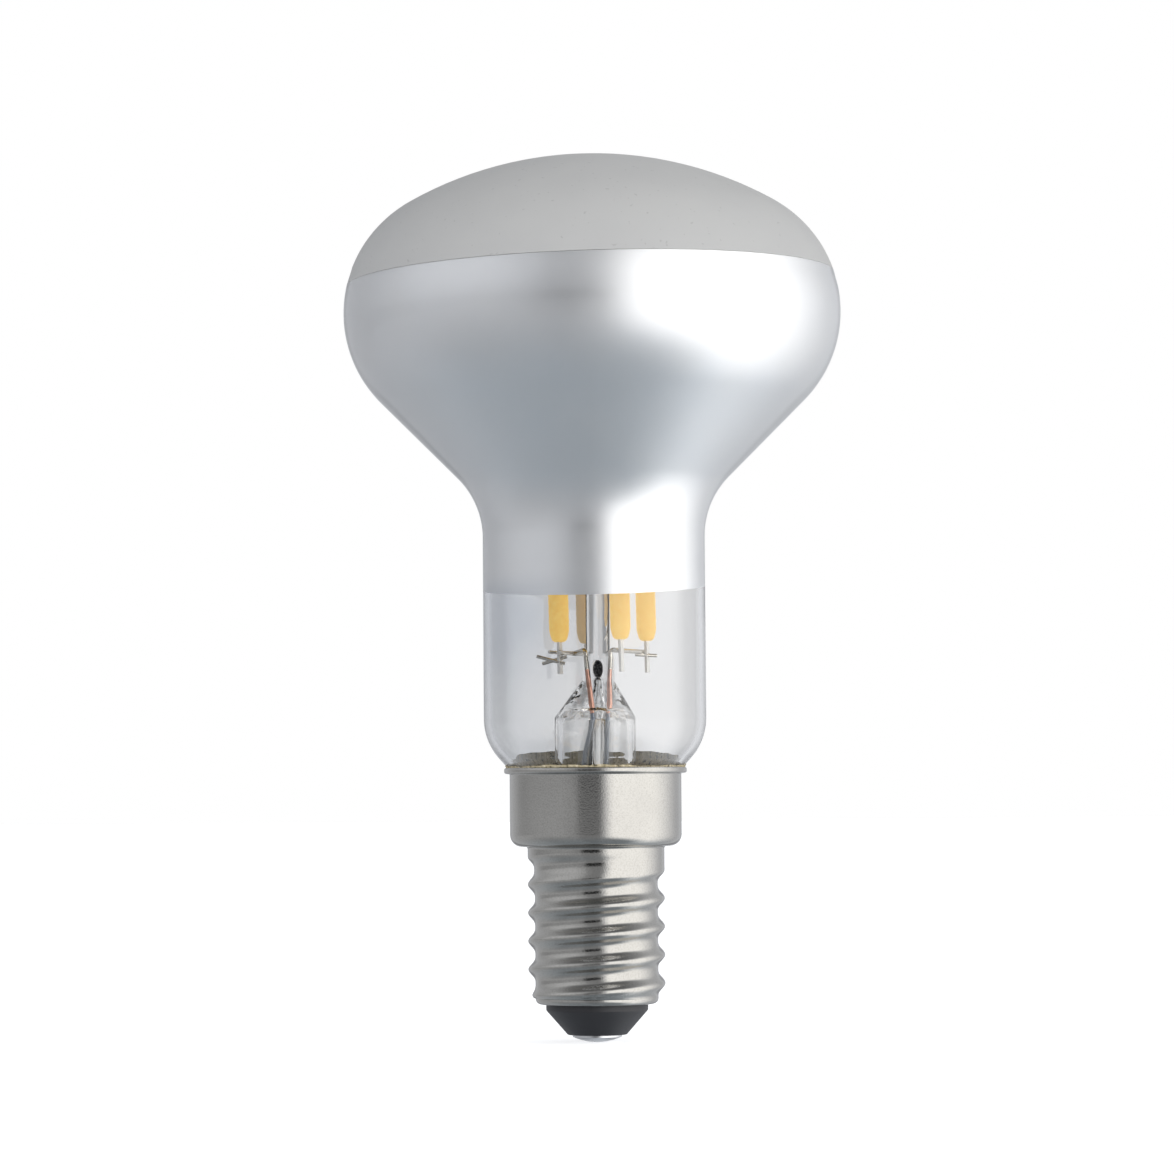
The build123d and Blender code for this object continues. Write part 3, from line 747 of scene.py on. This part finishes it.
# %% Shape one filament coat
COAT_SIZES = {
    "Length": 27.0 * MM,
    "Radius": 1.0 * MM,
    "End radius": 0.45 * MM,
    "Nose": 1.6 * MM,
    "Chip spacing": 0.95 * MM,
    "Ripple": 0.012 * MM,
    "Cage radius": 4.7 * MM,
}
coat_tree, board, start = new_tree("filament_cage", COAT_SIZES)
length, radius = start.sister("Length"), start.sister("Radius")
sockets = {"Vertices": 28, "Side Segments": 216, "Radius": radius, "Depth": length}
tube = board.add("GeometryNodeMeshCylinder", {"fill_type": "NGON"}, sockets)
x, y, z = board.split(board.add("GeometryNodeInputPosition"))
into_nose = 1 - (length / 2 - z.apply("ABSOLUTE")) / start.sister("Nose")
into_nose = board.maths("MAXIMUM", into_nose, 0.0)
swell = (1 - into_nose * into_nose) ** 0.5
end_share = start.sister("End radius") / radius
ripple = (z / start.sister("Chip spacing") * FULL_TURN).apply("COSINE") * start.sister("Ripple")
wider = end_share + (1 - end_share) * swell + ripple * swell / radius
coat = widen(board, tube, (x, y, z), wider)

# %% Stand the coats in their cage
CAGE_ORIGIN = (0.9 * MM, 0.0, 40.01 * MM)
CAGE_TURN = math.radians(21.1)
CAGE_LEAN = math.radians(1.209)
sockets = {"Vertices": 4, "Radius": start.sister("Cage radius")}
corners = board.add("GeometryNodeMeshCircle", {"fill_type": "NONE"}, sockets)
middle = board.add("ShaderNodeCombineXYZ", None, {"Z": length / 2})
sockets = {"Geometry": corners, "Translation": middle, "Rotation": (0.0, 0.0, CAGE_TURN)}
corners = board.add("GeometryNodeTransform", None, sockets)
stood = board.add("GeometryNodeInstanceOnPoints", None, {"Points": corners, "Instance": coat})
sockets = {"Geometry": stood, "Translation": CAGE_ORIGIN, "Rotation": (0.0, -CAGE_LEAN, 0.0)}
end_tree(board, board.add("GeometryNodeTransform", None, sockets), start)

# %% [markdown]
# The powder in the coat turns blue light into yellow, so even unlit it looks brighter than paint of its
# colour. A weak emission of the same yellow is painted glow for that, as the filaments are not lit. The
# rear filament's front half glows a dim grey instead, which is painted shade.

# %% Phosphor coat
# How far behind the axis the rear filament's front half, which carries painted shade, starts and ends
SHADED_REAR_FROM = (2.8 * MM, 3.4 * MM)
SHADED_REAR_TO = (4.1 * MM, 4.8 * MM)
# the Emission Strength here is painted glow
phosphor, board, shader, place = new_finish("phosphor_silicone", {"IOR": 1.41, "Emission Strength": 0.7})
powder = board.noise(grain=0.5 * MM, detail=3.0, place=place)
_, back, _ = board.split(place)
# painted shade: the rear filament's front half glows a dim grey instead of yellow
shaded_rear = board.window(back, SHADED_REAR_FROM, SHADED_REAR_TO)
painted_glow = board.blend(powder, rgb(240, 183, 72), rgb(248, 216, 118))
board.feed(shader.inputs["Base Color"], board.blend(powder, rgb(172, 130, 56), rgb(180, 152, 88)))
board.feed(shader.inputs["Emission Color"], board.blend(shaded_rear, painted_glow, rgb(168, 154, 130)))
board.feed(shader.inputs["Roughness"], 0.38 + powder * 0.15)
add_bump(board, shader, powder, depth=0.02 * MM, strength=0.4)
names = ("right", "back", "left", "front")
cage_seed = bpy.data.meshes.new("cage_seed")
filament_coats = grow("filament_coats", cage_seed, coat_tree, COAT_SIZES, phosphor)
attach(filament_coats, "root")
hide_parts(*(f"filament_coat_{name}" for name in names))

# %% [markdown]
# ## Leads through the glass
# Each lead is three wires welded end to end: nickel to the filaments, copper-clad wire where the glass seals
# to it, and a plated wire down to the driver. A wire is a path with rounded corners, so a tree draws it: the
# route's corners become a curve, the corners are filleted, and a circle is swept along. The wires in the
# press are about a hundredth of a millimetre thicker than the solids, so that they touch the glass they are
# melted into.

# %% Draw a wire along its route
WIRE_SIZES = {"Wire radius": 0.232 * MM, "Bend radius": 0.35 * MM}
wire_tree, board, start = new_tree("draw_wire", WIRE_SIZES)
path = board.add("GeometryNodeMeshToCurve", None, {"Mesh": start})
sockets = {"Curve": path, "Count": 8, "Radius": start.sister("Bend radius"), "Limit Radius": True}
path = board.add("GeometryNodeFilletCurve", {"mode": "POLY"}, sockets)
sockets = {"Resolution": 20, "Radius": start.sister("Wire radius")}
section = board.add("GeometryNodeCurvePrimitiveCircle", None, sockets)
sockets = {"Curve": path, "Profile Curve": section, "Fill Caps": True}
end_tree(board, board.add("GeometryNodeCurveToMesh", None, sockets), start)


def route_mesh(name, routes):
    """Make a mesh of bare edges from routes, each a row of corners in millimetres."""
    corners, edges = [], []
    for route in routes:
        edges += [(len(corners) + place, len(corners) + place + 1) for place in range(len(route) - 1)]
        corners += [Vector(corner) * MM for corner in route]
    mesh = bpy.data.meshes.new(name)
    mesh.from_pydata(corners, edges, [])
    return mesh


def draw_wire(name, route, material):
    """Draw a wire along its route, in place of its CAD node."""
    piece = grow(f"{name}_wire", route_mesh(name, [route]), wire_tree, WIRE_SIZES, material)
    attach(piece, "root")
    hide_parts(name)


# %% Nickel and copper for the wires
def metal_finish(name, dark, light, roughness, grain=0.3 * MM, metallic=1.0):
    """Make a drawn metal with a fine mottle in colour and gloss."""
    material, board, shader, place = new_finish(name, {"Metallic": metallic})
    mottle = board.noise(grain, detail=3.0, place=place)
    board.feed(shader.inputs["Base Color"], board.blend(mottle, dark, light))
    board.feed(shader.inputs["Roughness"], roughness + mottle * 0.12)
    add_bump(board, shader, mottle, depth=0.01 * MM, strength=0.3)
    return material


wire_nickel = metal_finish("nickel_wire", rgb(186, 182, 174), rgb(222, 218, 210), roughness=0.14)
copper_clad = metal_finish("copper_clad_wire", rgb(214, 160, 141), rgb(238, 192, 174), roughness=0.3)
plated_wire = metal_finish("plated_lead", rgb(122, 130, 142), rgb(156, 163, 174), roughness=0.3)

# %% Leads in the press
LEAD_Y = -0.75
SEAL_FOOT = 32.81
WELD_HEIGHT = 37.21
BEND_HEIGHT = 39.16
LEFT_WELD = (-0.703, LEAD_Y, WELD_HEIGHT)
RIGHT_WELD = (1.490, LEAD_Y, WELD_HEIGHT)
draw_wire("seal_wire_left", ((-0.214, LEAD_Y, SEAL_FOOT), LEFT_WELD), copper_clad)
draw_wire("seal_wire_right", ((1.288, LEAD_Y, SEAL_FOOT), RIGHT_WELD), copper_clad)
left_route = (LEFT_WELD, (-0.92, LEAD_Y, BEND_HEIGHT), (-1.93, 0.52, 38.88))
draw_wire("inner_lead_left", left_route, wire_nickel)
right_route = (RIGHT_WELD, (1.58, LEAD_Y, BEND_HEIGHT), (3.42, -1.16, 38.99))
draw_wire("inner_lead_right", right_route, wire_nickel)

# %% [markdown]
# The tabs are spot-welded to the leads with short ends of wire across the joint. Their ends stick out at odd
# angles. The same tree sweeps them all from one seed mesh.

# %% Weld ends
WELD_SIZES = {"Wire radius": 0.17 * MM, "Bend radius": 0.1 * MM}
WELD_ENDS = (
    ((-5.75, -1.75, 38.5), (-2.95, -1.95, 37.75)),
    ((-5.2, -1.65, 37.75), (-2.75, -1.9, 38.45)),
    ((-4.55, -1.45, 38.95), (-1.9, 0.3, 38.75)),
    ((4.1, 1.35, 38.72), (6.3, 1.75, 38.6)),
)
weld_ends = grow("weld_ends", route_mesh("weld_ends", WELD_ENDS), wire_tree, WELD_SIZES, wire_nickel)
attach(weld_ends, "root")

# %% [markdown]
# ## The stem
# The stem is one melted piece: a flared foot, a flat press round the wires, a post between the filaments and
# the exhaust tube. Its CAD solid already has all of that as one closed shape, which is what refraction
# needs, so the piece is a copy of that mesh. The copy is welded first, because the frame's mesh is loose
# triangles, and then it is shaded smooth. Where the press was melted, a stronger bump makes its swirls. The
# index is set below that of glass, because at the full index the outlines of so many walls come out too
# dark.

# %% Stem from its own solid
STEM_INDEX = 1.24
STEM_SHARP_ANGLE = 60.0
STEM_WELD_REACH = 1e-6
# Heights where the melted part starts and ends
MELTED_FROM = (31.0 * MM, 33.0 * MM)
MELTED_TO = (36.0 * MM, 38.0 * MM)
PLAIN_SWIRL = 0.35
MELTED_SWIRL = 1.65
clear, board, shader, place = new_finish(
    "clear_stem_glass", {"Transmission Weight": 1.0, "IOR": STEM_INDEX, "Roughness": 0.0}
)
haze = board.noise(grain=2 * MM, detail=2.0, place=place)
haze_tint = board.blend(haze, (0.965, 0.968, 0.968, 1), (0.99, 0.99, 0.988, 1))
board.feed(shader.inputs["Base Color"], haze_tint)
_, _, height = board.split(place)
melted = board.window(height, MELTED_FROM, MELTED_TO)
swirl = board.noise(grain=1.2 * MM, detail=2.0, place=place) * (PLAIN_SWIRL + melted * MELTED_SWIRL)
add_bump(board, shader, swirl, depth=0.1 * MM, strength=0.7)
body = bmesh.new()
body.from_mesh(nodes["glass_stem"].data)
bmesh.ops.remove_doubles(body, verts=body.verts, dist=STEM_WELD_REACH)
stem_mesh = bpy.data.meshes.new("melted_stem")
body.to_mesh(stem_mesh)
body.free()
melted_stem = add_piece("melted_stem", stem_mesh, clear, STEM_SHARP_ANGLE)
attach(melted_stem, "root")
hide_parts("glass_stem")
print("melted_stem has", len(stem_mesh.polygons), "faces")

# %% [markdown]
# The air was drawn out of the bulb through a hole blown in the front of the press. It shows as a dark oval,
# and that darkness is painted shade: a turned cup of 1 mm radius in dark grey, squeezed to an oval and laid
# on its side, lines the hole.

# %% Painted shade in the blown hole
SHADE_MOTTLE_EDGE = (0.45, 0.7)
HOLE_PLACE = Vector((0.33, 0.15, 37.21)) * MM
HOLE_SQUEEZE = (0.51, 0.91, 1.0, 1.0)
HOLE_DEPTH = 1.4
HOLE_FLOOR = 0.1
LINING_INSIDE = 0.86
HOLE_TURNS = 48
# painted shade: the dark grey cup stands for the shade inside the hole
port_shade_finish, board, shader, place = new_finish("painted_shade_glass", {"IOR": SODA_GLASS, "Roughness": 0.3})
shade_mottle = board.step(board.noise(grain=0.22 * MM, detail=2.0, place=place), *SHADE_MOTTLE_EDGE)
board.feed(shader.inputs["Base Color"], board.blend(shade_mottle, rgb(52, 52, 54), rgb(150, 150, 152)))
hole_line = rounded(
    (
        (0, 0, 0),
        (1.0, 0, 0.08),
        (1.0, HOLE_DEPTH, 0),
        (LINING_INSIDE, HOLE_DEPTH, 0),
        (LINING_INSIDE, HOLE_FLOOR, 0.05),
        (0, HOLE_FLOOR, 0),
    )
)
hole_mesh = turned_mesh("painted_port_shade", lambda angle: hole_line, HOLE_TURNS)
on_its_side = Matrix.Rotation(math.pi / 2, 4, "X")
hole_mesh.transform(Matrix.Translation(HOLE_PLACE) @ on_its_side @ Matrix.Diagonal(HOLE_SQUEEZE))
painted_port_shade = add_piece("painted_port_shade", hole_mesh, port_shade_finish)
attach(painted_port_shade, "root")

# %% [markdown]
# ## Finishes for the solids that stay
# The tabs, bars, sleeves and the driver in the cap keep their CAD shapes, which are right as they are. Each
# gets a finish of its own kind through its material slots. The tabs are dull white metal, so part of their
# light is scattered.

# %% Finishes of the small solids
def dull_finish(name, dark, light, roughness, grain, depth):
    """Make a moulded or pressed surface with mottled colour and a fine bump."""
    material, board, shader, place = new_finish(name, {"Specular IOR Level": 0.4})
    mottle = board.noise(grain, detail=3.0, place=place)
    board.feed(shader.inputs["Base Color"], board.blend(mottle, dark, light))
    board.feed(shader.inputs["Roughness"], roughness + mottle * 0.12)
    add_bump(board, shader, mottle, depth, strength=0.5)
    return material


sleeve, board, shader, place = new_finish("clear_sleeve", {"IOR": 1.4, "Roughness": 0.25})
milk = board.noise(grain=0.8 * MM, detail=2.0, place=place)
board.feed(shader.inputs["Base Color"], board.blend(milk, rgb(240, 242, 244), rgb(250, 251, 252)))
board.feed(shader.inputs["Alpha"], 0.10 + milk * 0.10)
tab_metal = metal_finish("filament_tab", rgb(240, 239, 236), rgb(252, 251, 249), 0.45, metallic=0.4)
carrier_metal = metal_finish("carrier_strip", rgb(170, 166, 150), rgb(196, 190, 172), 0.4)
can_metal = metal_finish("capacitor_can", rgb(150, 152, 156), rgb(178, 180, 184), 0.3, 0.6 * MM)
laminate = dull_finish("board_laminate", rgb(186, 172, 124), rgb(206, 194, 148), 0.55, 0.4 * MM, 0.02 * MM)
moulding = dull_finish("moulded_black", rgb(30, 30, 32), rgb(44, 44, 46), 0.55, 0.15 * MM, 0.01 * MM)
lacquer = dull_finish("resistor_lacquer", rgb(118, 140, 150), rgb(142, 164, 172), 0.35, 0.6 * MM, 0.02 * MM)

# %% Give each CAD solid its finish
finish_of = {
    "cross_bar": wire_nickel,
    "top_wire": wire_nickel,
    "outer_lead": plated_wire,
    "neutral_lead": plated_wire,
    "lead_sleeve": sleeve,
    "filament_tab": tab_metal,
    "filament_carrier": carrier_metal,
    "driver_board": laminate,
    "smoothing_capacitor": can_metal,
    "bridge_rectifier": moulding,
    "driver_chip": moulding,
    "fuse_resistor": lacquer,
}
dressed = 0
for name, solid in nodes.items():
    for start_of_name, material in finish_of.items():
        if name.startswith(start_of_name):
            for material_slot in solid.material_slots:
                material_slot.material = material
            dressed += 1
print("dressed CAD solids:", dressed)

# %% [markdown]
# ## Studio
# The lamp stands on a pale floor in a grey room. The world is the room, drawn by direction: degrees to the
# right of the camera's side and degrees up from level. A long white panel fills the right side, with a
# slanting foot. A paler stretch fills in the left. The far wall is a little paler too, with a dim strip on
# each side of it, as of a doorway. The table's edge runs round the left as a dark line, and it is darkest in
# front, where a stand dims the room a little. Satin metal shows all of that as soft bands.
#
# The camera sees the room as plain white, by the light path, and only camera rays are switched. The silver
# film lies behind glass, so what it reflects counts as transmission, and with those rays switched as well the
# whole reflector would turn white.

# %% Directions in the room
world = bpy.data.worlds.new("studio_room")
bpy.context.scene.world = world
world.use_nodes = True
world.node_tree.nodes.clear()
board = Board(world.node_tree)
x, y, z = board.split(board.add("ShaderNodeTexCoord", out="Generated"))
DEGREES = 180 / math.pi
to_right = board.maths("ARCTAN2", x, 0 - y) * DEGREES
to_rear = to_right.apply("ABSOLUTE")
upward = z.apply("ARCSINE") * DEGREES

# %% Light and dark places of the room
PANEL_MIDDLE = 66
PANEL_SLANT = 0.32
panel = board.window(to_right, rise=(4.0, 25.0), fall=(80.0, 145.0))
panel_foot = board.step(upward + (to_right - PANEL_MIDDLE) * PANEL_SLANT, -60.0, -26.0)
panel = panel * panel_foot * (1 - board.step(upward, 28.0, 52.0))
fill = board.window(to_right, rise=(-125.0, -75.0), fall=(-55.0, -5.0))
fill = fill * board.window(upward, rise=(-35.0, 22.0), fall=(35.0, 60.0))
table_edge = board.window(upward, rise=(-7.0, -4.0), fall=(1.5, 3.5))
table_edge = table_edge * board.window(to_right, rise=(-140.0, -110.0), fall=(5.0, 13.0))
in_front = board.step(to_right, -28.0, -19.0)
below_ceiling = 1 - board.step(upward, 30.0, 50.0)
stand = in_front * (1 - board.step(to_right, 2.0, 14.0)) * below_ceiling
far_wall = board.step(to_rear, 162.0, 172.0) * board.step(upward, -35.0, -5.0)
doorway = board.window(to_rear, rise=(156.0, 165.0), fall=(171.0, 176.0)) * below_ceiling
doorway = doorway * (0.5 + board.step(upward.apply("ABSOLUTE"), 6.0, 13.0) * 0.5)
rear_right = board.step(to_right, 60.0, 110.0) * board.step(upward, -75.0, -45.0)
rear_left = board.step(0 - to_right, 75.0, 120.0) * board.step(upward, -75.0, -35.0)
above_floor = board.step(upward, -75.0, -10.0)
ceiling = board.step(upward, 35.0, 70.0)

# %% The room as the world
ROOM_LIGHT = 0.40
WALL_LIGHT = 0.08
FILL_LIGHT = 0.40
REAR_RIGHT_LIGHT = 0.28
REAR_LEFT_LIGHT = 0.16
FAR_WALL_LIGHT = 0.06
PANEL_LIGHT = 2.0
CEILING_SHADE = 0.55
DOORWAY_SHADE = 0.55
STAND_SHADE = 0.2
EDGE_SHADE = 0.28
FRONT_SHADE = 0.72
FLOOR_TINT = (0.89, 1.0, 1.11, 1)
ROOM_TINT = (0.97, 0.99, 1.035, 1)
PANEL_TINT = (1.0, 0.995, 0.99, 1)
room = ROOM_LIGHT + above_floor * WALL_LIGHT + fill * FILL_LIGHT
room = room + rear_right * REAR_RIGHT_LIGHT + rear_left * REAR_LEFT_LIGHT + far_wall * FAR_WALL_LIGHT
room = room * (1 - ceiling * CEILING_SHADE) * (1 - doorway * DOORWAY_SHADE)
room = room * (1 - table_edge * (EDGE_SHADE + in_front * FRONT_SHADE)) * (1 - stand * STAND_SHADE)
light = room * (1 - panel) + panel * PANEL_LIGHT
tint = board.blend(panel, board.blend(above_floor, FLOOR_TINT, ROOM_TINT), PANEL_TINT)
seen = board.add("ShaderNodeLightPath", out="Is Camera Ray")
sockets = {"Color": board.blend(seen, tint, WHITE), "Strength": light * (1 - seen) + seen}
backdrop = board.add("ShaderNodeBackground", None, sockets)
board.add("ShaderNodeOutputWorld", None, {"Surface": backdrop})
print("the room has", len(world.node_tree.nodes), "nodes")

# %% [markdown]
# The floor is pale and dull. To camera rays it also glows a little, which brings it up to the white of the
# room and keeps the lamp's shadow. One soft lamp stands in front. Floor and lamp stay out of reflections and
# out of what is seen through glass, so that only the room makes the bands.

# %% Floor
FLOOR_REACH = 4.0
floor_finish, board, shader, place = new_finish(
    "pale_floor", {"Roughness": 0.9, "Specular IOR Level": 0.1, "Emission Strength": 0.64}
)
dusting = board.noise(grain=60 * MM, detail=2.0, place=place)
board.feed(shader.inputs["Base Color"], board.blend(dusting, rgb(222, 223, 225), rgb(228, 229, 231)))
seen = board.add("ShaderNodeLightPath", out="Is Camera Ray")
board.feed(shader.inputs["Emission Color"], board.blend(seen, BLACK, WHITE))
floor_mesh = bpy.data.meshes.new("floor")
corners = [(FLOOR_REACH * a, FLOOR_REACH * b, 0.0) for a, b in ((-1, -1), (1, -1), (1, 1), (-1, 1))]
floor_mesh.from_pydata(corners, [], [(0, 1, 2, 3)])
floor = add_piece("floor", floor_mesh, floor_finish)
floor.visible_glossy = False
floor.visible_transmission = False

# %% Soft lamp
LAMP_PLACE = Vector((-0.12, -0.80, 0.20))
LAMP_AIM = Vector((0.0, 0.0, 0.06))
LAMP_SIZE = 0.5
LAMP_POWER = 1.9
lamp = bpy.data.lights.new("key_panel", "AREA")
lamp.size = LAMP_SIZE
lamp.energy = LAMP_POWER
holder = bpy.data.objects.new("key_panel", lamp)
holder.location = LAMP_PLACE
holder.rotation_euler = (LAMP_AIM - LAMP_PLACE).to_track_quat("-Z", "Y").to_euler()
holder.visible_glossy = False
holder.visible_transmission = False
bpy.context.scene.collection.objects.link(holder)
print("lamp:", LAMP_POWER, "W at", round((LAMP_AIM - LAMP_PLACE).length, 2), "m")

# %% [markdown]
# The camera stands level with the collar of the cap, about 43 cm away, and looks slightly up. The aim, the
# focal length and a small roll put the lamp where the picture has it.

# %% Camera
EYE = Vector((0.0, -429.0, 24.35)) * MM
AIM = Vector((-0.71, 0.0, 45.5)) * MM
FOCAL_PIXELS = 4278.0
PICTURE_PIXELS = 1174.0
ROLL = math.radians(-0.42)
lens = bpy.data.cameras.new("camera")
lens.sensor_width = 36.0
lens.lens = lens.sensor_width * FOCAL_PIXELS / PICTURE_PIXELS
lens.clip_start = 0.01
camera = bpy.data.objects.new("camera", lens)
camera.location = EYE
camera.rotation_mode = "QUATERNION"
camera.rotation_quaternion = (AIM - EYE).to_track_quat("-Z", "Y") @ Quaternion((0.0, 0.0, 1.0), ROLL)
bpy.context.scene.collection.objects.link(camera)
bpy.context.scene.camera = camera
bpy.context.scene.view_settings.view_transform = "Standard"
# A ray through the stem crosses a dozen glass surfaces, so it is followed further than Blender's default
GLASS_BOUNCES = 32
bpy.context.scene.cycles.max_bounces = GLASS_BOUNCES
bpy.context.scene.cycles.transmission_bounces = GLASS_BOUNCES
print("lens:", round(lens.lens, 1), "mm")
